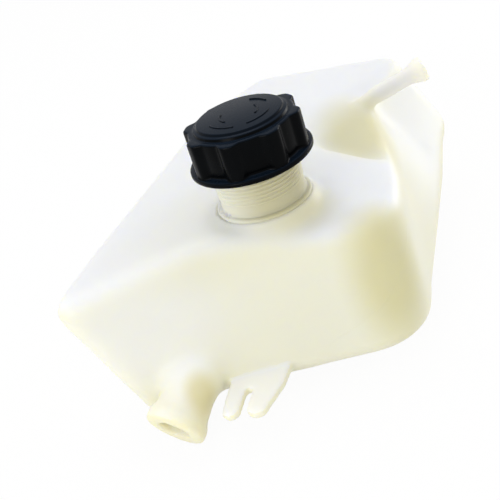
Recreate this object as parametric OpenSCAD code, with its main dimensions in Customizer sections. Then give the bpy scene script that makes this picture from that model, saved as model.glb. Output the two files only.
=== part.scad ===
// Coolant expansion tank: a blown plastic tank with a pressure cap on its filler neck.
// Millimetres. +Z runs up the filler neck. The origin is the round end of the mounting slot.

/* [Tank body] */
// Wall of the blown tank
wall = 3.2; // [2.6:0.1:3.8]
// Radius of the long edges of the tank
edge_r = 10; // [8:0.5:12]
// Radius of the upright corner at the right-hand front
front_corner_r = 34; // [26:1:36]
// Neck axis to the left end, at the top
left_reach = 126; // [118:1:136]
// Neck axis to the right-hand front corner, at the top
right_front_reach = 56; // [52:1:60]
// Neck axis to the right side, half way back at the top
right_reach = 83; // [81:1:86]
// Neck axis to the right-hand back corner, at the top
right_back_reach = 124; // [117:1:130]
// Neck axis to the front wall, at the left end
front_reach_left = 29; // [27:1:32]
// Neck axis to the front wall, in the middle
front_reach = 27; // [26:1:30]
// Neck axis to the front wall, at the right end
front_reach_right = 48; // [45:1:51]
// Neck axis to the back corner
back_reach = 185; // [176:1:194]
// Depth of the tank below the neck root, at the left end
depth_left = 84; // [81:1:87]
// Depth at the right-hand front corner
depth_front = 86; // [80:1:92]
// Depth along the back
depth_back = 61; // [55:1:66]
// How far the left end slopes in towards its bottom
left_slope = 25; // [22:1:32]
// How far the right side flares out towards its bottom
side_flare = 15; // [8:1:20]

/* [Top face and hollow] */
// Fall of the top face from the neck to the right-hand side
top_fall = 9; // [6:0.5:12]
// Fall of the top face from the neck to the left end
left_fall = 7; // [4:0.5:10]
// Depth of the hollow in the top face, behind the filler neck
hollow_depth = 16; // [12:0.5:18]

/* [Filler neck] */
// Radius of the neck across the thread crests
neck_r = 22.5; // [21.5:0.1:23.5]
// Depth of the neck thread
thread_h = 0.8; // [0.5:0.1:1.2]
// Radius of the neck bore
neck_bore_r = 18; // [17.5:0.1:18.4]
// Height of the neck rim above the neck root
neck_h = 39; // [37:0.5:42]
// How far the bead at the foot of the neck stands out
foot_bead = 1.8; // [1:0.1:2.4]
// Radius of the low boss round the foot of the neck
boss_r = 28; // [26:0.5:29]

/* [Hose stubs] */
// Radius of the outlet stub
outlet_r = 13.5; // [12.5:0.1:14.2]
// Radius of the lip on the end of the outlet stub
outlet_lip_r = 15.6; // [15:0.1:16.5]
// Radius of the bore of the outlet stub
outlet_bore_r = 7.8; // [7:0.1:9]
// Radius of the bleed stub
bleed_r = 5.2; // [4.8:0.1:5.6]
// Radius of the flared end of the bleed stub
bleed_lip_r = 8; // [7:0.1:8.5]
// Radius of the bore of the bleed stub
bleed_bore_r = 2.8; // [2.2:0.1:3.2]
// Length of the bleed stub outside the tank
bleed_len = 35; // [30:1:40]

/* [Mounting tab] */
// Thickness of the tab
tab_t = 4.4; // [3.5:0.1:5]
// Width of the slot between the prongs
slot_w = 3.4; // [3:0.1:4]
// Length of the slot
slot_len = 13; // [11:0.5:15]
// Width of the left prong
prong_w = 9.6; // [8:0.1:11]
// Width of the right prong
prong_wide_w = 10.6; // [9:0.1:12]

/* [Cap] */
// Number of grip ribs round the cap
rib_count = 8; // [6:1:10]
// Radius of the cap across its grip ribs
cap_r = 29.6; // [28.6:0.1:30.4]
// How far the grip hollows go in between the ribs
grip_depth = 3; // [2:0.1:3.6]
// Radius of the flange at the foot of the cap
cap_flange_r = 31; // [30.8:0.1:32]
// Thickness of that flange
cap_flange_t = 2.6; // [2:0.1:3.2]
// Height of the cap without its raised disc
cap_h = 20.5; // [19:0.5:22]
// Radius of the raised disc on the cap
disc_r = 21.6; // [20.5:0.1:22]
// Height of the raised disc
disc_h = 3.6; // [3:0.1:4.4]
// Thickness of the cap over its inner parts
cap_roof = 4.5; // [3.9:0.1:5.2]

/* [Pressure valve] */
// Height of the valve housing below the neck rim
housing_drop = 26; // [25:0.5:28]
// Wall of the valve housing
housing_wall = 3.6; // [3.4:0.1:3.9]
// Cord thickness of the O-ring
o_ring_d = 2.4; // [2.2:0.1:2.6]
// Thickness of the flat gasket on the neck rim
gasket_t = 1.5; // [1.2:0.1:2]
// Wire thickness of the pressure spring
spring_wire = 1.6; // [1.2:0.1:1.9]
// Turns of the pressure spring
spring_turns = 5; // [4:1:6]
// Radius of the pressure valve's seat
seat_r = 9.6; // [9:0.1:10]
// Wire thickness of the vacuum spring
small_wire = 0.5; // [0.4:0.05:0.6]
// Turns of the vacuum spring
small_turns = 5; // [4:1:6]
// Radius of the vacuum valve's stem
stem_r = 1.5; // [1.3:0.1:1.7]

/* [Fits] */
// Radial gap of the O-ring in the neck bore
seal_gap = 0.05; // [0.03:0.01:0.1]
// Radial gap between the cap and the neck thread
thread_gap = 0.4; // [0.3:0.05:0.6]
// Gap between valve pieces that slide in each other
slide_gap = 0.6; // [0.4:0.05:0.8]
// Gap between pieces that lie on each other and turn
rest_gap = 0.1; // [0.05:0.05:0.2]
// Radial gap of pieces that are pressed or stretched onto each other
press_gap = 0.05; // [0.02:0.01:0.1]

/* [Hidden] */
$fn = 72;
// Steps of a corner, a long edge, a wall's height and a side's length: the tank's outer and inner skin
outer_steps = [8, 5, 6, 5];
inner_steps = [4, 4, 4, 2];
// Neck root centre, seen from the round end of the mounting slot
neck_pos = [38, 50, 74];

// Corners of the tank round the neck axis, anticlockwise from the left end:
// place at the top, place at the bottom, radius in plan
tank_corners = [
    [[-left_reach, -front_reach_left, -left_fall],
     [left_slope - left_reach, -front_reach_left - 5, -depth_left], edge_r + 1],
    [[-38, -front_reach, 0],
     [-34, -front_reach - 11, -depth_left + 2], 40],
    [[right_front_reach, -front_reach_right, -top_fall],
     [right_front_reach - 2 + side_flare / 6, -front_reach_right, -depth_front + 2], front_corner_r],
    [[right_reach - 13, 2, -top_fall],
     [right_reach - 12, -10, -depth_front + 5], 60],
    [[right_reach, back_reach - 84, -top_fall],
     [right_reach + side_flare + 14, back_reach - 104, -depth_back - 10], 24],
    [[right_back_reach, back_reach - 30, -top_fall + 3],
     [right_back_reach + side_flare - 3, back_reach - 47, -depth_back], edge_r + 3],
    [[26, back_reach, -2],
     [40, back_reach - 16, -depth_back], edge_r + 4],
    [[-20, back_reach - 38, -2],
     [0, back_reach - 56, -depth_back], edge_r + 10]
];
// The middle of the top face, which all its corners can be seen from
top_middle = [8, 55, 0];

// Heights of the bead at the foot of the neck and of the boss round it
bead_h = 1.6;
boss_drop = 3.6;

// Balls that bound the hollow: place on the top face, depth of the hollow there, radius
hollow_balls = [
    [[44.5, 55, 0], hollow_depth - 3, 6],
    [[60, 40, 0], hollow_depth, 6],
    [[65.5, 27, 0], hollow_depth, 4],
    [[71, 58, 0], hollow_depth - 5, 4],
    [[74, 84, 0], 7, 5],
    [[57, 76, 0], 4, 6]
];
hollow_open_h = 24;

// Axes of the two hose stubs: a point on the axis and its direction outwards
outlet_foot = [-67, -40, -71];
outlet_dir = [-0.613, -0.685, -0.389];
outlet_out = 18;
outlet_end_r = 1.6;
outlet_in = 26;
outlet_lip_w = 4;
outlet_flare_w = 5;
bleed_foot = [82, 95, -6.5];
bleed_dir = [0.978, 0.045, 0.2];
// How far the bleed stub runs into the tank's ridge, and how far its bore then drops
bleed_in = 9;
bleed_drop = 20;
bleed_lip_w = 2;
bleed_flare_w = 8;

// Mounting tab, seen from the round end of the slot
prong_turn = -22;
tab_root_back = 24;
tab_flare = 7;
prong_step = 1.3;

// Heights in the cap and its valve, seen from the neck root
gasket_z = neck_h;
flange_z = gasket_z + gasket_t;
flange_t = 1.8;
flange_r = neck_r - 0.2;
washer_z = flange_z + flange_t;
washer_t = 0.6;
roof_z = washer_z + washer_t + rest_gap;
disc_top_z = roof_z + cap_roof;
plate_z = disc_top_z - disc_h;
skirt_z = plate_z - cap_h;
cap_bore_r = neck_r + thread_gap;
ring_t = 0.9;
ring_in = 1.2;
ring_groove = 0.5;
gasket_r = flange_r - ring_in - 0.2;

housing_r = neck_bore_r - 0.7;
housing_bore_r = housing_r - housing_wall;
housing_z = neck_h - housing_drop;
housing_floor_t = 2;
floor_hole_r = seat_r - 1.2;
seat_ridge = 0.6;
groove_gap = 0.2;
o_ring_z = neck_h - 7;
o_ring_r = neck_bore_r - seal_gap - o_ring_d / 2;
groove_r = o_ring_r - o_ring_d / 2 - press_gap;
groove_h = o_ring_d + 2 * groove_gap;
seal_z = housing_z + housing_floor_t + seat_ridge;
seal_t = 1.6;
seal_hole_r = 3.6;
plate_bottom_z = seal_z + seal_t;
plate_t = 2;
plate_r = housing_bore_r - slide_gap;
hub_r = 5;
hub_h = 4;
cover_t = 2;
cover_z = flange_z - cover_t;
cover_r = housing_bore_r + 1.2;
vent_r = 1.5;
vent_count = 6;
spring_r = 8.8;
spring_z = plate_bottom_z + plate_t;
vacuum_disc_r = 5.4;
vacuum_disc_t = 1.4;
small_spring_r = stem_r + small_wire / 2 + 0.7;
small_spring_z = spring_z + hub_h;
small_spring_h = 5;
clip_t = 0.8;
clip_r = small_spring_r + small_wire + 0.4;

function mix(a, b, t) = a + (b - a) * t;
function unit(v) = v / norm(v);
function heading(a, b) = atan2(b[1] - a[1], b[0] - a[0]);
function middle(ring) = [for (k = [0:2]) [for (p = ring) p[k]] * [for (p = ring) 1] / len(ring)];

// One corner at a level: t is 0 at its bottom and 1 at its top
function corner_at(c, t, sink) = mix(c[1], c[0], t) + [0, 0, sink];

// The round of one corner of an outline, set in by a distance and moved down by sink
function round_of(corners, i, t, inset, sink, steps) =
    let(n = len(corners),
        before = corner_at(corners[(i + n - 1) % n], t, sink),
        here = corner_at(corners[i], t, sink),
        after = corner_at(corners[(i + 1) % n], t, sink),
        a_in = heading(before, here),
        turn = (heading(here, after) - a_in + 900) % 360 - 180,
        r = (turn < 0 ? -1 : 1) * corners[i][2],
        inward = a_in + turn / 2 + 90,
        centre = [here[0], here[1]] + r / cos(turn / 2) * [cos(inward), sin(inward)])
    [for (k = [0 : steps])
        let(a = a_in - 90 + turn * k / steps)
        [centre[0] + (r - inset) * cos(a), centre[1] + (r - inset) * sin(a), here[2]]];

// A closed outline: the round of each corner, and points along the straight side after it
function ring_of(corners, t, inset, sink, steps) =
    let(n = len(corners),
        rounds = [for (i = [0 : n - 1]) round_of(corners, i, t, inset, sink, steps[0])])
    [for (i = [0 : n - 1])
        let(from = rounds[i][steps[0]], to = rounds[(i + 1) % n][0])
        each concat(rounds[i], [for (k = [1 : steps[3] - 1]) mix(from, to, k / steps[3])])];

// The levels of a loft from bottom to top: its outlines set in by skin, its long edges rounded.
// steps holds the steps of a corner, a long edge, a wall's height and a side's length.
function loft_rings(corners, skin, steps) =
    let(r = edge_r - skin)
    concat(
        [for (k = [0 : steps[1]]) let(a = 90 * k / steps[1])
            ring_of(corners, 0, skin + r * (1 - sin(a)), skin + r * (1 - cos(a)), steps)],
        [for (k = [1 : steps[2] - 1]) let(t = k / steps[2])
            ring_of(corners, t, skin, mix(edge_r, -edge_r, t), steps)],
        [for (k = [steps[1] : -1 : 0]) let(a = 90 * k / steps[1])
            ring_of(corners, 1, skin + r * (1 - sin(a)), -skin - r * (1 - cos(a)), steps)]
    );

// A solid through a stack of outlines, closed by a fan at each end
module loft(rings, top_peak) {
    m = len(rings[0]);
    last = len(rings) - 1;
    foot = m * (last + 1);
    points = concat([for (r = rings) each r], [middle(rings[0]), top_peak]);
    sides = [for (j = [0 : last - 1], i = [0 : m - 1])
        let(a = j * m + i, b = j * m + (i + 1) % m)
        each [[a, a + m, b + m], [a, b + m, b]]];
    ends = [for (i = [0 : m - 1])
        each [[foot, i, (i + 1) % m], [foot + 1, last * m + (i + 1) % m, last * m + i]]];
    polyhedron(points, concat(sides, ends));
}

module tank_body(skin, steps) {
    loft(loft_rings(tank_corners, skin, steps), top_middle - [0, 0, skin]);
}

module hollow(skin) {
    hull() {
        for (ball = hollow_balls) {
            low = ball[0] + [0, 0, ball[2] - ball[1]];
            translate(low) sphere(r = ball[2] + skin, $fn = 24);
            translate(low + [0, 0, hollow_open_h]) sphere(r = ball[2] + skin, $fn = 8);
        }
    }
}

// Turns +Z to a direction
module along(dir) {
    rotate([0, acos(dir[2] / norm(dir)), atan2(dir[1], dir[0])]) children();
}

module at_neck() {
    translate(neck_pos) children();
}

module ring(r_out, r_in, h) {
    difference() {
        cylinder(r = r_out, h = h);
        translate([0, 0, -1]) cylinder(r = r_in, h = h + 2);
    }
}

// A round spring with its end turns laid flat, as one swept tube
module coil(r, wire, turns, height) {
    per_turn = 20;
    sides = 6;
    count = turns * per_turn;
    // Share of a turn at each end that lies flat on its seat
    flat_turn = 0.75;
    points = [for (i = [0 : count])
        let(a = 360 * i / per_turn,
            climb = (i / per_turn - flat_turn) / (turns - 2 * flat_turn),
            z = wire / 2 + (height - wire) * min(1, max(0, climb)))
        for (k = [0 : sides - 1])
            let(b = 360 * k / sides + 30, q = r + wire / 2 * cos(b))
            [q * cos(a), q * sin(a), z + wire / 2 * sin(b)]];
    skin = [for (i = [0 : count - 1], k = [0 : sides - 1])
        let(a = i * sides + k, b = i * sides + (k + 1) % sides)
        each [[a, b, b + sides], [a, b + sides, a + sides]]];
    caps = [for (k = [1 : sides - 2])
        each [[0, k + 1, k], [count * sides, count * sides + k, count * sides + k + 1]]];
    polyhedron(points, concat(skin, caps));
}

module outlet_stub() {
    end = outlet_out - outlet_lip_w;
    translate(outlet_foot) along(outlet_dir) rotate_extrude() polygon(concat(
        [
            [0, -outlet_in],
            [outlet_r, -outlet_in],
            [outlet_r, end - outlet_flare_w],
            [outlet_lip_r, end]
        ],
        [for (a = [0 : 30 : 90]) [outlet_lip_r + outlet_end_r * (cos(a) - 1), outlet_out + outlet_end_r * sin(a)]],
        [[0, outlet_out + outlet_end_r]]
    ));
}

module outlet_bore() {
    inner_end = outlet_in + wall;
    translate(outlet_foot) along(outlet_dir) translate([0, 0, -inner_end])
        cylinder(r = outlet_bore_r, h = inner_end + outlet_out + outlet_end_r + 1);
}

// Its inner end is a dome inside the tank's ridge
module bleed_stub() {
    translate(bleed_foot) along(bleed_dir) rotate_extrude() polygon(concat(
        [for (a = [0 : 30 : 90]) [bleed_r * sin(a), -bleed_in - bleed_r * cos(a)]],
        [
            [bleed_r, bleed_len - bleed_lip_w - bleed_flare_w],
            [bleed_lip_r, bleed_len - bleed_lip_w],
            [bleed_lip_r, bleed_len],
            [0, bleed_len]
        ]
    ));
}

// Runs along the spout and then straight down into the tank
module bleed_bore() {
    inner_end = bleed_in + bleed_bore_r;
    translate(bleed_foot) along(bleed_dir) translate([0, 0, -inner_end])
        cylinder(r = bleed_bore_r, h = inner_end + bleed_len + 1);
    translate(bleed_foot - bleed_in * unit(bleed_dir) - [0, 0, bleed_drop])
        cylinder(r = bleed_bore_r, h = bleed_drop);
}

// The neck's outer form without its thread, with the bead and the low boss at its foot
module neck() {
    root_r = neck_r - thread_h;
    rotate_extrude() polygon([
        [0, -edge_r],
        [boss_r, -edge_r],
        [boss_r, -boss_drop],
        [neck_r + foot_bead, 0],
        [neck_r + foot_bead, bead_h],
        [neck_r + foot_bead / 2, bead_h + 1],
        [root_r, bead_h + 1],
        [root_r, neck_h - 1],
        [root_r - 1, neck_h],
        [0, neck_h]
    ]);
}

module neck_bore() {
    translate([0, 0, -edge_r - wall]) cylinder(r = neck_bore_r, h = edge_r + wall + neck_h + 1);
}

// Two prongs with a slot between them for a screw; the slot's round end is the origin
module mounting_tab() {
    right = slot_w / 2 + prong_wide_w;
    translate([0, 0, -tab_t / 2]) rotate([0, 0, prong_turn]) linear_extrude(tab_t) difference() {
        union() {
            translate([-slot_w / 2 - prong_w, -slot_len]) square([prong_w + slot_w, slot_len + tab_root_back]);
            translate([-slot_w / 2 - prong_w / 2, -slot_len]) circle(d = prong_w);
            translate([right - prong_wide_w / 2, prong_step - slot_len]) circle(d = prong_wide_w);
            polygon([
                [0, prong_step - slot_len],
                [right, prong_step - slot_len],
                [right + tab_flare - 2, prong_step + 3],
                [right + tab_flare, tab_root_back],
                [0, tab_root_back]
            ]);
        }
        circle(d = slot_w);
        translate([-slot_w / 2, -slot_len - prong_w]) square([slot_w, slot_len + prong_w]);
    }
}

module tank() color("ivory") {
    difference() {
        union() {
            at_neck() difference() {
                tank_body(0, outer_steps);
                hollow(0);
            }
            at_neck() neck();
            at_neck() outlet_stub();
            at_neck() bleed_stub();
            mounting_tab();
        }
        at_neck() difference() {
            tank_body(wall, inner_steps);
            hollow(wall);
        }
        at_neck() neck_bore();
        at_neck() outlet_bore();
        at_neck() bleed_bore();
    }
}

module cap_profile() {
    step = disc_h / 2;
    rotate_extrude() difference() {
        polygon([
            [0, skirt_z],
            [cap_flange_r, skirt_z],
            [cap_flange_r, skirt_z + cap_flange_t - 0.8],
            [cap_flange_r - 0.8, skirt_z + cap_flange_t],
            [cap_r, skirt_z + cap_flange_t],
            [cap_r, plate_z - 1.2],
            [cap_r - 1.2, plate_z],
            [disc_r + 2.2, plate_z],
            [disc_r + 1.8, plate_z + step],
            [disc_r + 0.4, plate_z + step],
            [disc_r, disc_top_z - 0.6],
            [disc_r - 0.6, disc_top_z],
            [0, disc_top_z]
        ]);
        polygon([
            [0, skirt_z - 1],
            [cap_bore_r + 0.8, skirt_z - 1],
            [cap_bore_r + 0.8, skirt_z + 0.4],
            [cap_bore_r, skirt_z + 1.2],
            [cap_bore_r, flange_z - rest_gap - ring_t - 0.2],
            [cap_bore_r + ring_groove, flange_z - rest_gap - ring_t - 0.2],
            [cap_bore_r + ring_groove, flange_z + 0.1],
            [cap_bore_r, flange_z + 0.1],
            [cap_bore_r, roof_z],
            [0, roof_z]
        ]);
    }
}

// The grip hollows: wide shallow cuts that leave a rib between each pair
module grip_hollows() {
    chord = 2 * cap_r * sin(180 / rib_count) * 0.78;
    cut_r = (chord * chord / 4 + grip_depth * grip_depth) / (2 * grip_depth);
    for (i = [0 : rib_count - 1]) {
        rotate([0, 0, 360 / rib_count * i])
            translate([cap_r - grip_depth + cut_r, 0, skirt_z + cap_flange_t])
            cylinder(r = cut_r, h = cap_h);
    }
}

module cap_shell() color("darkslategray") at_neck() difference() {
    cap_profile();
    grip_hollows();
}

module retaining_ring() color("silver") at_neck() {
    translate([0, 0, flange_z - rest_gap - ring_t]) rotate([0, 0, 15]) rotate_extrude(angle = 330)
        translate([flange_r - ring_in, 0]) square([cap_bore_r + ring_groove - 0.1 - flange_r + ring_in, ring_t]);
}

module slip_washer() color("white") at_neck() {
    translate([0, 0, washer_z]) ring(flange_r, housing_bore_r + 2, washer_t);
}

module neck_gasket() color("dimgray") at_neck() {
    translate([0, 0, gasket_z]) ring(gasket_r, housing_r + rest_gap, gasket_t);
}

module housing_solid() {
    rotate_extrude() polygon([
        [0, housing_z],
        [housing_r - 1, housing_z],
        [housing_r, housing_z + 1],
        [housing_r, o_ring_z - groove_h / 2],
        [groove_r, o_ring_z - groove_h / 2],
        [groove_r, o_ring_z + groove_h / 2],
        [housing_r, o_ring_z + groove_h / 2],
        [housing_r, flange_z],
        [flange_r, flange_z],
        [flange_r, washer_z],
        [0, washer_z]
    ]);
}

// A cup that hangs in the neck from its flange; the valve closes on the ridge round its floor hole
module valve_housing() color("slategray") at_neck() {
    floor_z = housing_z + housing_floor_t;
    difference() {
        housing_solid();
        translate([0, 0, floor_z]) cylinder(r = housing_bore_r, h = housing_drop + gasket_t + flange_t);
        translate([0, 0, housing_z - 1]) cylinder(r = floor_hole_r, h = housing_floor_t + 2);
        // Counterbore that the spring cover is pressed into
        translate([0, 0, cover_z]) cylinder(r = cover_r, h = cover_t + flange_t + 1);
    }
    translate([0, 0, floor_z - 0.5]) ring(seat_r + 0.6, seat_r - 0.6, seat_ridge + 0.5);
}

module housing_o_ring() color("black") at_neck() {
    translate([0, 0, o_ring_z]) rotate_extrude() translate([o_ring_r, 0]) circle(d = o_ring_d, $fn = 24);
}

// The disc that closes the housing and holds the spring; its holes vent the valve
module spring_cover() color("gray") at_neck() {
    translate([0, 0, cover_z]) difference() {
        cylinder(r = cover_r - press_gap, h = cover_t);
        for (i = [0 : vent_count - 1]) {
            rotate([0, 0, 360 / vent_count * i]) translate([spring_r - spring_wire - vent_r - 1, 0, -1])
                cylinder(r = vent_r, h = cover_t + 2);
        }
    }
}

module pressure_spring() color("silver") at_neck() {
    translate([0, 0, spring_z]) coil(spring_r, spring_wire, spring_turns, cover_z - spring_z);
}

module pressure_plate() color("lightgray") at_neck() difference() {
    union() {
        translate([0, 0, plate_bottom_z]) cylinder(r = plate_r, h = plate_t);
        translate([0, 0, plate_bottom_z]) cylinder(r = hub_r, h = plate_t + hub_h);
    }
    translate([0, 0, plate_bottom_z - 1]) cylinder(r = stem_r + slide_gap, h = plate_t + hub_h + 2);
}

module pressure_seal() color("black") at_neck() {
    translate([0, 0, seal_z]) ring(plate_r - 0.4, seal_hole_r, seal_t);
}

module vacuum_valve() color("goldenrod") at_neck() {
    stem_top = small_spring_z + small_spring_h + clip_t + 1;
    union() {
        translate([0, 0, seal_z - vacuum_disc_t]) cylinder(r = vacuum_disc_r, h = vacuum_disc_t);
        translate([0, 0, seal_z - vacuum_disc_t]) cylinder(r = stem_r, h = stem_top - seal_z + vacuum_disc_t);
    }
}

module vacuum_spring() color("silver") at_neck() {
    translate([0, 0, small_spring_z]) coil(small_spring_r, small_wire, small_turns, small_spring_h);
}

module stem_clip() color("silver") at_neck() {
    translate([0, 0, small_spring_z + small_spring_h]) ring(clip_r, stem_r + press_gap, clip_t);
}

tank();
cap_shell();
retaining_ring();
slip_washer();
neck_gasket();
valve_housing();
housing_o_ring();
spring_cover();
pressure_spring();
pressure_plate();
pressure_seal();
vacuum_valve();
vacuum_spring();
stem_clip();
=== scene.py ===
"""A coolant expansion tank of milky blown plastic with a black screw cap.

The scene is in metres, in the part's own frame. The sizes and places named here are in millimetres from the root of
the filler neck, unless a comment says otherwise.
"""

import math

import bmesh
import bpy
from mathutils import Matrix, Vector
from mathutils.bvhtree import BVHTree


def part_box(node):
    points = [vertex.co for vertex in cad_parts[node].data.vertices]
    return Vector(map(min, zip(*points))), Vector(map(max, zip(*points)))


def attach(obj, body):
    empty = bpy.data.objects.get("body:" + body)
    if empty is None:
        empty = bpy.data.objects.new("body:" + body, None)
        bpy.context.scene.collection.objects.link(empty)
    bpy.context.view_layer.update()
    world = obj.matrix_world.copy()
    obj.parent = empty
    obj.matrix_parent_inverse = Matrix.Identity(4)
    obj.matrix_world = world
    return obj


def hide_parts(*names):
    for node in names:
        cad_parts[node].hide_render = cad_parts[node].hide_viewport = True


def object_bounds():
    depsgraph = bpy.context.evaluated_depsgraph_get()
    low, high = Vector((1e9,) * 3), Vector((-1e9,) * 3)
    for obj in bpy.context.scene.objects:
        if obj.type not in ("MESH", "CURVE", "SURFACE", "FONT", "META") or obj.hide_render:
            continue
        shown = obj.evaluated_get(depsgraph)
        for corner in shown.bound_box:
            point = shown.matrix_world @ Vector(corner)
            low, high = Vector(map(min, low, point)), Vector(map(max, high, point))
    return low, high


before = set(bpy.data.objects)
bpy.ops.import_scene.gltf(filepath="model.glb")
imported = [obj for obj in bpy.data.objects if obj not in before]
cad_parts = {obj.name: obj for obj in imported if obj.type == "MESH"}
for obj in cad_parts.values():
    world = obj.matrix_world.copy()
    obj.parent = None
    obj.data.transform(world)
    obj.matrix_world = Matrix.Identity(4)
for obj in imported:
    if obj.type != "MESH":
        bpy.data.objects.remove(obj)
cad_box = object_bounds()

MM = 0.001
# The root of the filler neck in the part's frame
NECK = Vector((38, 50, 74)) * MM

# The photograph's camera: its place, its directions to the right and backwards, its lens and its sensor
EYE = (-15.4, -412.9, 204.0)
RIGHT = Vector((0.94808, -0.15451, -0.27797))
BACK = Vector((0.0, -0.87406, 0.48582))
LENS = 66.24
SENSOR = 36

# Soft round lamps: name, place and width in metres of the part's frame, and power in watts
LAMPS = (
    ("left_lamp", (-1.0, -1.0, 0.55), 0.7, 7),
    ("top_lamp", (0.0, 0.5, 1.3), 0.8, 3.8),
    ("right_lamp", (1.25, 0.8, 0.2), 0.7, 6),
)
LIT_POINT = (0, 60, -30)
# How strongly the white surroundings light the object; the camera sees them as pure white
SKY_GLOW = 0.785
# The floor: radius in metres, gap under the part, and the share of its look that is a pure white glow
FLOOR_R = 4.0
FLOOR_GAP = 0.5
FLOOR_GLOW = 0.95

# Cell of the tank's remeshed skin, and how often it is smoothed
CELL = 1.4
SMOOTHINGS = 160
# Share of the skin's faces that stay when its inner side is thinned
SKIN_KEPT = 0.58

# Radius that stands for the axis in a turned shell
AXIS_R = 0.01

# The filler neck: its radii, its foot inside the tank, its rim and its steps round the axis
NECK_R = 21.7
BORE_R = 18.0
NECK_FOOT = -4
RIM_Z = 39.0
NECK_STEPS = 160
# Its thread: height over the neck, first and last level and their number, lead and starts
THREAD_H = 0.4
THREAD_Z = (7.5, 37.0)
THREAD_LEVELS = 118
THREAD_LEAD = 4.0
THREAD_STARTS = 2
# The section of the bead round its foot: radius and height
BEAD = (
    (22.0, -5), (23.4, -5), (24.0, -0.8), (24.3, -0.2), (24.45, 0.4), (24.4, 1.0),
    (24.1, 1.5), (23.6, 1.75), (23.0, 1.8), (22.5, 2.0), (22.0, 2.2), (22.0, -5),
)

# The cap: foot of its skirt, top of its disc, and its roof, which clears the washer
SKIRT = (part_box("cap_shell")[0].z - NECK.z) / MM
CAP_TOP = (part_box("cap_shell")[1].z - NECK.z) / MM
ROOF = (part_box("slip_washer")[1].z - NECK.z) / MM + 0.1
# Its radii, its steps round the axis, and the ribs of its grip
CAP_BORE_R = 22.9
FLANGE_R = 31
GRIP_R = 29.6
STEP_R = 23.5
DISC_R = 21.6
CAP_STEPS = 192
RIBS = 8
RIB_DEPTH = 3
# Plain raised arcs on its disc: radius of their section, then each one's radius, first and last angle in degrees
ARC_SECTION_R = 0.5
TOP_ARCS = ((15.5, 196, 252), (15.5, 276, 332), (15.5, 20, 60), (9.5, 150, 215), (9.5, 320, 385))

# Axes of the two hose stubs: a point at the tank's wall, the direction outwards and the stub's radius
OUTLET = ((-67, -40, -71), (-0.613, -0.685, -0.389), 16)
BLEED = ((82, 95, -6.5), (0.978, 0.045, 0.2), 8)

# Plane of the mould's parting line: its height at the neck's axis, and its slopes along x and y
PARTING = (-34.8, 0.469, 0.839)
# Painted light (pale spots) and painted warm shade (warm spots) on the milky plastic: middle, reach along x, y and z,
# and share
TANK_PAINTED_LIGHT = (
    ((98, 96, -2), (56, 24, 26), 1.0),
    ((-78, -20, -35), (62, 60, 52), 0.6),
)
# Painted warm shade: the front-right corner, the hollow, the outlet's root, the top near the neck and the neck's foot
TANK_PAINTED_SHADE = (
    ((45, -39, -40), (29, 26, 60), 1.0),
    ((64, 66, -14), (36, 56, 26), 0.85),
    ((-60, -49, -66), (12, 14, 18), 0.8),
    ((-82, -56, -80), (34, 34, 34), 0.35),
    ((-30, 0, -6), (75, 60, 30), 0.2),
    ((12, -16, -3), (32, 28, 12), 0.6),
)
# Painted shade on the neck's right-hand front, under the cap: middle, reach along x, y and z, and share
NECK_PAINTED_SHADE = (
    ((8, -18, 10), (34, 30, 60), 1.0),
)


def at_neck(x, y, z):
    """A point given from the neck's root, in the part's frame."""
    return NECK + Vector((x, y, z)) * MM


def rise(value, low, high):
    """0 below low, 1 above high, and smooth between them."""
    share = min(1.0, max(0.0, (value - low) / (high - low)))
    return share * share * (3 - 2 * share)


def plateau(value, foot, edge, far_edge, far_foot):
    """1 from edge to far_edge, 0 before foot and after far_foot, and smooth between them."""
    return rise(value, foot, edge) * (1 - rise(value, far_edge, far_foot))


# Finishes

class Signal:
    """An output of a shader node. Arithmetic on it adds Math nodes."""

    def __init__(self, finish, socket):
        self.finish = finish
        self.socket = socket

    def maths(self, operation, *values):
        return self.finish.node("ShaderNodeMath", {"operation": operation}, dict(enumerate(values)))

    def __add__(self, other):
        return self.maths("ADD", self, other)

    __radd__ = __add__

    def __mul__(self, other):
        return self.maths("MULTIPLY", self, other)

    __rmul__ = __mul__

    def __sub__(self, other):
        return self.maths("SUBTRACT", self, other)

    def __rsub__(self, other):
        return self.maths("SUBTRACT", other, self)

    def __truediv__(self, other):
        return self.maths("DIVIDE", self, other)

    def __abs__(self):
        return self.maths("ABSOLUTE", self)

    def ramp(self, low, high):
        """0 below low, 1 above high, and smooth between them."""
        settings = {"interpolation_type": "SMOOTHSTEP"}
        sockets = {"Value": self, "From Min": low, "From Max": high}
        return self.finish.node("ShaderNodeMapRange", settings, sockets)


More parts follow.
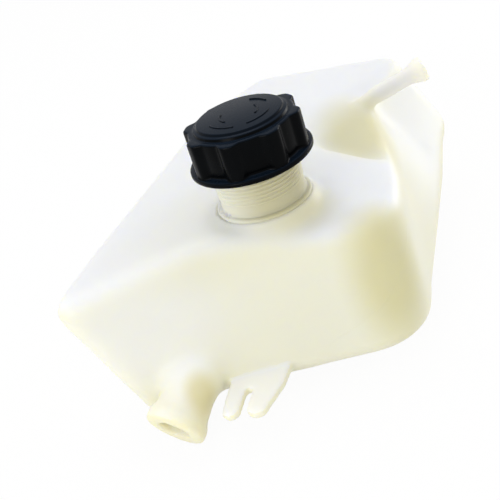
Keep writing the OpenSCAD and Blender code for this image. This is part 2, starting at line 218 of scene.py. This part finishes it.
class Finish:
    """A procedural material, built round one Principled shader."""

    def __init__(self, name, **constants):
        self.material = bpy.data.materials.new(name)
        self.material.use_nodes = True
        self.tree = self.material.node_tree
        self.shader = self.tree.nodes["Principled BSDF"]
        for socket, value in constants.items():
            self.shader.inputs[socket.replace("_", " ")].default_value = value
        self.place = self.node("ShaderNodeTexCoord", output="Object")

    def node(self, kind, settings=None, sockets=None, output=0):
        """Adds a node: its settings first, then the values or links of its sockets."""
        node = self.tree.nodes.new(kind)
        for name, value in (settings or {}).items():
            setattr(node, name, value)
        for name, value in (sockets or {}).items():
            if isinstance(value, Signal):
                self.tree.links.new(value.socket, node.inputs[name])
            else:
                node.inputs[name].default_value = value
        return Signal(self, node.outputs[output])

    def noise(self, scale, detail=2.0, stretch=(1, 1, 1)):
        """Soft noise over the object, with scale in cells a metre."""
        place = self.node("ShaderNodeMapping", None, {"Vector": self.place, "Scale": stretch})
        sockets = {"Vector": place, "Scale": scale, "Detail": detail}
        return self.node("ShaderNodeTexNoise", None, sockets)

    def blend(self, share, first, second):
        """A colour that goes from first to second as share goes from 0 to 1."""
        sockets = {0: share, 6: first, 7: second}
        return self.node("ShaderNodeMix", {"data_type": "RGBA"}, sockets, output=2)

    def part(self, vector, axis):
        """One coordinate of a vector."""
        return self.node("ShaderNodeSeparateXYZ", None, {0: vector}, output=axis)

    def upward(self, low, high):
        """1 where the surface faces up, 0 where it faces sideways or down."""
        facing = self.node("ShaderNodeNewGeometry", output="True Normal")
        return self.part(facing, 2).ramp(low, high)

    def blob(self, middle, radii):
        """1 in the middle of a soft ellipsoid and 0 outside it."""
        sockets = {"Vector": self.place, "Location": at_neck(*middle), "Scale": Vector(radii) * MM}
        inside = self.node("ShaderNodeMapping", {"vector_type": "TEXTURE"}, sockets)
        reach = self.node("ShaderNodeVectorMath", {"operation": "LENGTH"}, {0: inside}, output="Value")
        return 1 - reach.ramp(0.25, 1.0)

    def parting_line(self):
        """The faint raised line that the mould leaves across the right-hand front corner."""
        x, y, z = (self.part(self.place, axis) / MM - NECK[axis] / MM for axis in range(3))
        height, slope_x, slope_y = PARTING
        off = abs(z - height - slope_x * x - slope_y * y)
        stretch = x.ramp(2, 12) * (1 - x.ramp(60, 72)) * (1 - y.ramp(-20, 0))
        return (1 - off.ramp(0.1, 0.9)) * stretch * 2.2

    def feed(self, socket, signal):
        self.tree.links.new(signal.socket, self.shader.inputs[socket])

    def bump(self, height, distance, strength):
        """Makes the surface uneven by height times distance in metres."""
        sockets = {"Height": height, "Distance": distance, "Strength": strength}
        self.feed("Normal", self.node("ShaderNodeBump", None, sockets))


def linear(red, green, blue):
    """A colour given as it looks on a screen, 0 to 255, as the shader wants it."""
    def channel(value):
        value /= 255
        return value / 12.92 if value <= 0.04045 else ((value + 0.055) / 1.055) ** 2.4
    return (channel(red), channel(green), channel(blue), 1.0)


def milky_plastic(name, side, top, painted_shade_tone, painted_light_spots, painted_shade_spots, depth):
    """Natural blown plastic: milky, with a fine satin skin; light and shade are painted into its tone, paler where it
    faces up, pale in painted light spots and warm in painted shade spots.

    Light goes depth in metres into it.
    """
    finish = Finish(name, IOR=1.46, Specular_IOR_Level=0.4, Subsurface_Weight=0.5, Subsurface_Scale=depth)
    finish.shader.inputs["Subsurface Radius"].default_value = (1.0, 0.85, 0.35)
    cloud = finish.noise(14, 3)
    speckle = finish.noise(420, 2)
    # Painted light: faces that point up take the pale top tone, the others the warmer side tone.
    tone = finish.blend(finish.upward(0.2, 0.95), linear(*side), linear(*top))
    tone = finish.blend(cloud.ramp(0.35, 0.75) * 0.2, tone, linear(244, 241, 220))
    # Painted light: the pale spots.
    for middle, radii, share in painted_light_spots:
        tone = finish.blend(finish.blob(middle, radii) * share, tone, linear(253, 249, 235))
    # Painted shade: the warm spots.
    for middle, radii, share in painted_shade_spots:
        tone = finish.blend(finish.blob(middle, radii) * share, tone, linear(*painted_shade_tone))
    finish.feed("Base Color", tone)
    finish.feed("Roughness", 0.36 + 0.12 * cloud + 0.05 * speckle)
    ripple = finish.noise(900, 2) * 0.3 + finish.noise(55, 2) + finish.parting_line()
    finish.bump(ripple, 0.12 * MM, 0.35)
    return finish.material


def black_plastic():
    """Satin black moulding with a faint grain, dust-pale scuffs and a painted bluish light on faces that point up."""
    finish = Finish("black_plastic", IOR=1.5, Specular_IOR_Level=0.045)
    cloud = finish.noise(45, 4)
    scuff = finish.noise(260, 5, (1, 1, 0.25))
    tone = finish.blend(cloud.ramp(0.35, 0.75), linear(2, 3, 4), linear(5, 7, 9))
    # Painted light: faces that point up are paler and bluer.
    tone = finish.blend(finish.upward(0.3, 0.95), tone, linear(17, 27, 39))
    tone = finish.blend(scuff.ramp(0.66, 0.82) * 0.2, tone, linear(52, 62, 70))
    finish.feed("Base Color", tone)
    finish.feed("Roughness", 0.22 + 0.1 * cloud)
    finish.bump(finish.noise(1600, 2), 0.08 * MM, 0.3)
    return finish.material


def tinted_plastic(name, dark, pale, roughness):
    """An even moulding whose colour drifts a little between dark and pale."""
    finish = Finish(name, IOR=1.5)
    cloud = finish.noise(80, 3)
    finish.feed("Base Color", finish.blend(cloud.ramp(0.3, 0.7), linear(*dark), linear(*pale)))
    finish.feed("Roughness", roughness + 0.12 * finish.noise(500, 2))
    finish.bump(finish.noise(1500, 2), 0.06 * MM, 0.3)
    return finish.material


def seal_rubber():
    """Dark rubber with a greyish bloom."""
    finish = Finish("seal_rubber", IOR=1.52, Sheen_Weight=0.08)
    bloom = finish.noise(120, 4)
    finish.feed("Base Color", finish.blend(bloom.ramp(0.45, 0.8), linear(22, 22, 23), linear(48, 47, 46)))
    finish.feed("Roughness", 0.6 + 0.2 * bloom)
    finish.bump(finish.noise(2200, 3), 0.06 * MM, 0.4)
    return finish.material


def metal(name, dark, pale, roughness, brush):
    """Bright metal with turning or drawing marks, stretched by brush."""
    finish = Finish(name, Metallic=1.0)
    marks = finish.noise(900, 3, brush)
    stain = finish.noise(90, 3)
    finish.feed("Base Color", finish.blend(stain.ramp(0.3, 0.75), linear(*dark), linear(*pale)))
    finish.feed("Roughness", roughness + 0.18 * marks)
    finish.bump(marks, 0.04 * MM, 0.4)
    return finish.material


def floor_finish():
    """White to the camera, with a trace of shadow kept; plain pale where it lights the object."""
    finish = Finish("floor_white", Roughness=0.9)
    finish.shader.inputs["Base Color"].default_value = (0.9, 0.9, 0.9, 1)
    rays = finish.tree.nodes.new("ShaderNodeLightPath").outputs
    seen = Signal(finish, rays["Is Camera Ray"])
    for kind in ("Is Glossy Ray", "Is Transmission Ray"):
        seen = seen.maths("MAXIMUM", seen, Signal(finish, rays[kind]))
    glow = finish.node("ShaderNodeEmission", None, {"Color": (1, 1, 1, 1), "Strength": 1.0})
    plain_floor = Signal(finish, finish.shader.outputs[0])
    mixed = finish.node("ShaderNodeMixShader", None, {0: FLOOR_GLOW * seen, 1: plain_floor, 2: glow})
    finish.tree.links.new(mixed.socket, finish.tree.nodes["Material Output"].inputs["Surface"])
    return finish.material


# Pieces

def from_shape(name, shape):
    """A new object from a bmesh, smooth shaded."""
    mesh = bpy.data.meshes.new(name)
    shape.normal_update()
    shape.to_mesh(mesh)
    shape.free()
    mesh.shade_smooth()
    piece = bpy.data.objects.new(name, mesh)
    bpy.context.scene.collection.objects.link(piece)
    return piece


def apply_modifiers(piece):
    """Makes a piece's modifiers part of its mesh."""
    depsgraph = bpy.context.evaluated_depsgraph_get()
    mesh = bpy.data.meshes.new_from_object(piece.evaluated_get(depsgraph))
    mesh.name = piece.name
    piece.modifiers.clear()
    old = piece.data
    piece.data = mesh
    bpy.data.meshes.remove(old)


def dress(piece, material, body):
    """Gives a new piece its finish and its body."""
    piece.data.materials.clear()
    piece.data.materials.append(material)
    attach(piece, body)


def redress(nodes, material):
    """Gives carried-over CAD nodes a better finish."""
    for node in nodes:
        for mesh_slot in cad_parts[node].material_slots:
            mesh_slot.material = material


def welded(node, name):
    """A copy of a CAD node whose loose triangles are joined."""
    shape = bmesh.new()
    shape.from_mesh(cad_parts[node].data)
    bmesh.ops.remove_doubles(shape, verts=shape.verts, dist=0.001 * MM)
    return from_shape(name, shape)


def along_stub(point, stub):
    """How far out along a hose stub a point lies, and 1 near the stub's axis, 0 away from it."""
    foot, direction, radius = stub
    direction = Vector(direction).normalized()
    from_foot = point - at_neck(*foot)
    out = from_foot.dot(direction)
    off = (from_foot - out * direction).length
    return out / MM, 1 - rise(off / MM, radius + 2, radius + 8)


def softness(point):
    """How much a point of the tank is smoothed, 0 to 1."""
    x, y, z = (point - NECK) / MM
    # What blowing leaves soft: the roll over the front, the hollow and the right-hand side, and the outlet's root
    front = (1 - rise(y, -12, 22)) * rise(z, -62, -30)
    hollow = plateau(x, 12, 28, 78, 86) * plateau(y, 0, 12, 98, 112) * rise(z, -30, -18)
    side = rise(x, 50, 68) * plateau(y, -6, 6, 108, 124) * rise(z, -72, -56)
    out, near = along_stub(point, OUTLET)
    root = near * plateau(out, -34, -20, 0, 8)
    soft = max(0.22 + 0.78 * front, 0.8 * hollow, 0.8 * side, root)
    # What stays crisp: the outlet, the bleed spout, the neck's boss and the mounting tab
    outlet = near * rise(out, 2, 10)
    out, near = along_stub(point, BLEED)
    bleed = near * rise(out, -6, 4)
    boss = (1 - rise(math.hypot(x, y), 29, 40)) * rise(z, -12, -3)
    tab = (1 - rise(y, -38, -32)) * (1 - rise(z, -71, -67)) * plateau(x, -57, -50, -4, 4)
    held = max(0.72 * boss, tab, 0.96 * outlet, 0.96 * bleed)
    return soft * (1 - held) + 0.015


def tuck_neck(piece):
    """Draws the skin's own neck into the wall of the neck piece, which shows in its place, and its bead likewise."""
    inner = BORE_R + 0.7
    outer = NECK_R - 0.9
    for vertex in piece.data.vertices:
        x, y, z = (vertex.co - NECK) / MM
        off = math.hypot(x, y)
        in_neck = off <= 23.4 and z >= -6 and (z >= 1.2 or off <= 20)
        if in_neck:
            turn = min(max(off, inner), outer) / off
            vertex.co = at_neck(x * turn, y * turn, min(z, RIM_Z - 1))
        elif 20 < off < 25 and z < 2.4:
            vertex.co = at_neck(x, y, min(z, 0.1))


def hidden_inside(piece):
    """The vertices of the tank's inner skin, which have the tank above and below them."""
    depsgraph = bpy.context.evaluated_depsgraph_get()
    tree = BVHTree.FromObject(piece, depsgraph)
    up = Vector((0, 0, 1))
    found = []
    for vertex in piece.data.vertices:
        start = vertex.co + vertex.normal * 0.2 * MM
        off_axis = math.hypot(vertex.co.x - NECK.x, vertex.co.y - NECK.y)
        if off_axis > 30 * MM and tree.ray_cast(start, up)[0] and tree.ray_cast(start, -up)[0]:
            found.append(vertex.index)
    return found


def tank_skin():
    """The blown tank: the solid's form with the soft rolls that blowing leaves. The neck is a piece of its own."""
    piece = welded("tank", "tank_skin")
    remesh = piece.modifiers.new("even_skin", "REMESH")
    remesh.mode = "VOXEL"
    remesh.voxel_size = CELL * MM
    apply_modifiers(piece)
    group = piece.vertex_groups.new(name="soft")
    for vertex in piece.data.vertices:
        group.add([vertex.index], softness(vertex.co), "REPLACE")
    smooth = piece.modifiers.new("soft_rolls", "SMOOTH")
    smooth.factor = 0.5
    smooth.iterations = SMOOTHINGS
    smooth.vertex_group = "soft"
    apply_modifiers(piece)
    tuck_neck(piece)
    piece.vertex_groups.clear()
    inner_skin = piece.vertex_groups.new(name="inner_skin")
    inner_skin.add(hidden_inside(piece), 1.0, "REPLACE")
    fewer = piece.modifiers.new("fewer_faces_inside", "DECIMATE")
    fewer.vertex_group = "inner_skin"
    fewer.ratio = SKIN_KEPT
    apply_modifiers(piece)
    piece.vertex_groups.clear()
    piece.data.shade_smooth()
    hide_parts("tank")
    return piece


def turned(name, levels, relief, steps):
    """A closed shell round the neck's axis, through levels of radius, height and depth.

    relief(angle, height) times a level's depth is taken off its radius. A shell ends on the axis, where its first and
    last radius are next to nothing, or in itself, where its first and last level are the same.
    """
    shape = bmesh.new()
    rings = []
    edges = []
    for radius, height, depth in levels:
        if rings:
            made = bmesh.ops.extrude_edge_only(shape, edges=edges)["geom"]
            ring = [g for g in made if isinstance(g, bmesh.types.BMVert)]
            own = set(ring)
            edges = [g for g in made if isinstance(g, bmesh.types.BMEdge) and own.issuperset(g.verts)]
        else:
            middle = Matrix.Translation(NECK)
            ring = bmesh.ops.create_circle(shape, segments=steps, radius=1.0, matrix=middle)["verts"]
            edges = list(shape.edges)
        for vertex in ring:
            angle = math.atan2(vertex.co.y - NECK.y, vertex.co.x - NECK.x)
            reach = radius - depth * relief(angle, height)
            vertex.co = at_neck(reach * math.cos(angle), reach * math.sin(angle), height)
        rings.append(ring)
    bmesh.ops.remove_doubles(shape, verts=rings[0] + rings[-1], dist=AXIS_R * 3 * MM)
    bmesh.ops.recalc_face_normals(shape, faces=shape.faces)
    return from_shape(name, shape)


def plain(angle, height):
    """No relief."""
    return 0.0


def thread(angle, height):
    """0 on a thread's crest and 1 at its root; the thread fades out at both ends."""
    start, end = THREAD_Z
    turns = angle / (2 * math.pi) * THREAD_STARTS - (height - start) / (THREAD_LEAD / THREAD_STARTS)
    crest = rise(0.5 + 0.5 * math.cos(2 * math.pi * turns), 0.3, 0.8)
    return 1 - crest * plateau(height, start, start + 1, end - 1, end)


def grip(angle, height):
    """0 on a rib of the cap's grip, 1 in the middle of a hollow between two."""
    turn = (angle * RIBS / (2 * math.pi) + 0.5) % 1.0 - 0.5
    return 1 - rise(abs(turn) * 2, 0.36, 0.82)


def filler_neck():
    """The neck with its thread and its rim."""
    start, end = THREAD_Z
    step = (end - start) / THREAD_LEVELS
    foot = [(BORE_R, NECK_FOOT), (NECK_R + 0.9, NECK_FOOT), (NECK_R + 0.7, 2),
            (NECK_R + 0.1, 3), (NECK_R, 5), (NECK_R, 7)]
    threaded = [(NECK_R + THREAD_H, start + step * k, THREAD_H) for k in range(THREAD_LEVELS + 1)]
    rim = [(NECK_R, end + 0.4), (NECK_R, RIM_Z - 0.7), (NECK_R - 0.3, RIM_Z - 0.2), (NECK_R - 0.8, RIM_Z),
           (BORE_R + 0.5, RIM_Z), (BORE_R + 0.1, RIM_Z - 0.2), (BORE_R, RIM_Z - 0.6), (BORE_R, 20),
           (BORE_R, NECK_FOOT)]
    levels = [(*level, 0) for level in foot] + threaded + [(*level, 0) for level in rim]
    piece = turned("filler_neck", levels, thread, NECK_STEPS)
    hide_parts("tank")
    return piece


def neck_bead():
    """The thin round bead at the foot of the neck."""
    piece = turned("neck_bead", [(*level, 0) for level in BEAD], plain, NECK_STEPS)
    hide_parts("tank")
    return piece


def cap_moulding():
    """The cap, from the roof's middle inside, round the skirt, to the disc's middle on top."""
    disc = CAP_TOP - ARC_SECTION_R
    bore = [(AXIS_R, ROOF, 0), (CAP_BORE_R, ROOF, 0), (CAP_BORE_R, SKIRT + 1.2, 0), (CAP_BORE_R + 0.8, SKIRT, 0)]
    flange = [(FLANGE_R - 0.5, SKIRT, 0), (FLANGE_R, SKIRT + 0.5, 0), (FLANGE_R, SKIRT + 1.8, 0),
              (FLANGE_R - 0.4, SKIRT + 2.5, 0)]
    grip_side = [(GRIP_R + 0.5, SKIRT + 2.6, 1), (GRIP_R + 0.1, SKIRT + 2.3, RIB_DEPTH - 0.4),
                 (GRIP_R - 0.1, SKIRT + 2.8, RIB_DEPTH), (GRIP_R, SKIRT + 4, RIB_DEPTH),
                 (GRIP_R, CAP_TOP - 4.8, RIB_DEPTH), (GRIP_R - 0.1, CAP_TOP - 4.2, RIB_DEPTH),
                 (GRIP_R - 0.4, CAP_TOP - 3.8, RIB_DEPTH), (GRIP_R - 0.8, CAP_TOP - 3.6, RIB_DEPTH),
                 (GRIP_R - 1.4, CAP_TOP - 3.5, RIB_DEPTH - 0.1), (GRIP_R - 4.2, CAP_TOP - 3.6, 0.5)]
    round_step = [(STEP_R + 0.3, CAP_TOP - 3.6, 0), (STEP_R + 0.1, CAP_TOP - 3.4, 0), (STEP_R, CAP_TOP - 2.2, 0),
                  (STEP_R - 0.3, CAP_TOP - 1.9, 0), (STEP_R - 1.1, CAP_TOP - 1.8, 0)]
    round_disc = [(DISC_R + 0.4, CAP_TOP - 1.6, 0), (DISC_R, disc - 0.5, 0), (DISC_R - 0.3, disc - 0.1, 0),
                  (DISC_R - 0.7, disc, 0), (AXIS_R, disc, 0)]
    levels = bore + flange + grip_side + round_step + round_disc
    piece = turned("cap_moulding", levels, grip, CAP_STEPS)
    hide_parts("cap_shell")
    return piece


def raised_arc(name, radius, start, end):
    """A thin round ridge, half sunk in the cap's disc."""
    shape = bmesh.new()
    middle = at_neck(0, 0, CAP_TOP - ARC_SECTION_R)
    out = Matrix.Rotation(math.radians(start), 4, "Z") @ Matrix.Translation((radius * MM, 0, 0))
    upright = Matrix.Rotation(math.radians(90), 4, "X")
    section = Matrix.Translation(middle) @ out @ upright
    bmesh.ops.create_circle(shape, segments=12, radius=ARC_SECTION_R * MM, matrix=section)
    bmesh.ops.spin(shape, geom=shape.verts[:] + shape.edges[:], cent=middle, axis=(0, 0, 1),
                   angle=math.radians(end - start), steps=28)
    bmesh.ops.holes_fill(shape, edges=[e for e in shape.edges if e.is_boundary], sides=0)
    bmesh.ops.recalc_face_normals(shape, faces=shape.faces)
    return from_shape(name, shape)


# Studio

def light(name, place, width, power):
    lamp = bpy.data.lights.new(name, "AREA")
    lamp.shape = "DISK"
    lamp.size = width
    lamp.energy = power
    lamp_object = bpy.data.objects.new(name, lamp)
    lamp_object.location = place
    aim = at_neck(*LIT_POINT) - Vector(place)
    lamp_object.rotation_euler = aim.to_track_quat("-Z", "Y").to_euler()
    bpy.context.scene.collection.objects.link(lamp_object)


def camera():
    """The photograph's camera."""
    eye = bpy.data.objects.new("camera", bpy.data.cameras.new("camera"))
    eye.data.lens = LENS
    eye.data.sensor_width = SENSOR
    eye.data.clip_start = 10 * MM
    turn = Matrix((RIGHT, BACK.cross(RIGHT), BACK)).transposed().to_4x4()
    eye.matrix_world = Matrix.Translation(at_neck(*EYE)) @ turn
    bpy.context.scene.collection.objects.link(eye)
    bpy.context.scene.camera = eye


def surroundings():
    """A white world that lights the object by SKY_GLOW and looks pure white to the camera."""
    world = bpy.data.worlds.new("plain_world")
    world.use_nodes = True
    nodes = world.node_tree.nodes
    links = world.node_tree.links
    sky = nodes["Background"]
    sky.inputs["Color"].default_value = (1, 1, 1, 1)
    camera_ray = nodes.new("ShaderNodeLightPath").outputs["Is Camera Ray"]
    strength = nodes.new("ShaderNodeMapRange")
    strength.inputs["To Min"].default_value = SKY_GLOW
    links.new(camera_ray, strength.inputs["Value"])
    links.new(strength.outputs[0], sky.inputs["Strength"])
    bpy.context.scene.world = world


def studio():
    """The camera, soft lamps and a white floor."""
    camera()
    for name, place, width, power in LAMPS:
        light(name, place, width, power)
    surroundings()
    shape = bmesh.new()
    bmesh.ops.create_circle(shape, cap_ends=True, segments=64, radius=FLOOR_R)
    floor = from_shape("floor", shape)
    floor.location.z = cad_box[0][2] - FLOOR_GAP * MM
    floor.data.materials.append(floor_finish())
    bpy.context.scene.view_settings.view_transform = "Standard"


studio()

# The side and top tones paint light by which way a face points; the warm tone is the painted shade of the warm spots.
milky = milky_plastic("milky_plastic", side=(243, 238, 210), top=(245, 245, 240), painted_shade_tone=(222, 214, 168),
                      painted_light_spots=TANK_PAINTED_LIGHT, painted_shade_spots=TANK_PAINTED_SHADE, depth=12 * MM)
# The neck's plastic: a darker, warmer copy of the tank's, its tones painted shade where the cap shades the neck and
# the dark inside shows through.
shaded_neck_plastic = milky_plastic("shaded_neck_plastic", side=(228, 228, 214), top=(238, 237, 222), painted_shade_tone=(196, 191, 157),
                             painted_light_spots=(), painted_shade_spots=NECK_PAINTED_SHADE, depth=3 * MM)
dress(tank_skin(), milky, "tank")
dress(filler_neck(), shaded_neck_plastic, "tank")
dress(neck_bead(), shaded_neck_plastic, "tank")

black = black_plastic()
dress(cap_moulding(), black, "cap")
for number, (radius, start, end) in enumerate(TOP_ARCS):
    dress(raised_arc(f"cap_top_arc_{number + 1}", radius, start, end), black, "cap")

redress(("retaining_ring", "spring_cover", "pressure_spring", "vacuum_spring", "stem_clip"),
        metal("spring_steel", dark=(120, 122, 126), pale=(176, 178, 182), roughness=0.24, brush=(1, 1, 6)))
redress(("pressure_plate", "vacuum_valve"),
        metal("turned_brass", dark=(150, 116, 58), pale=(196, 160, 88), roughness=0.22, brush=(1, 1, 8)))
redress(("neck_gasket", "housing_o_ring", "pressure_seal"), seal_rubber())
redress(("valve_housing",), tinted_plastic("housing_plastic", (44, 46, 48), (58, 60, 62), 0.42))
redress(("slip_washer",), tinted_plastic("washer_plastic", (224, 224, 219), (238, 238, 234), 0.3))
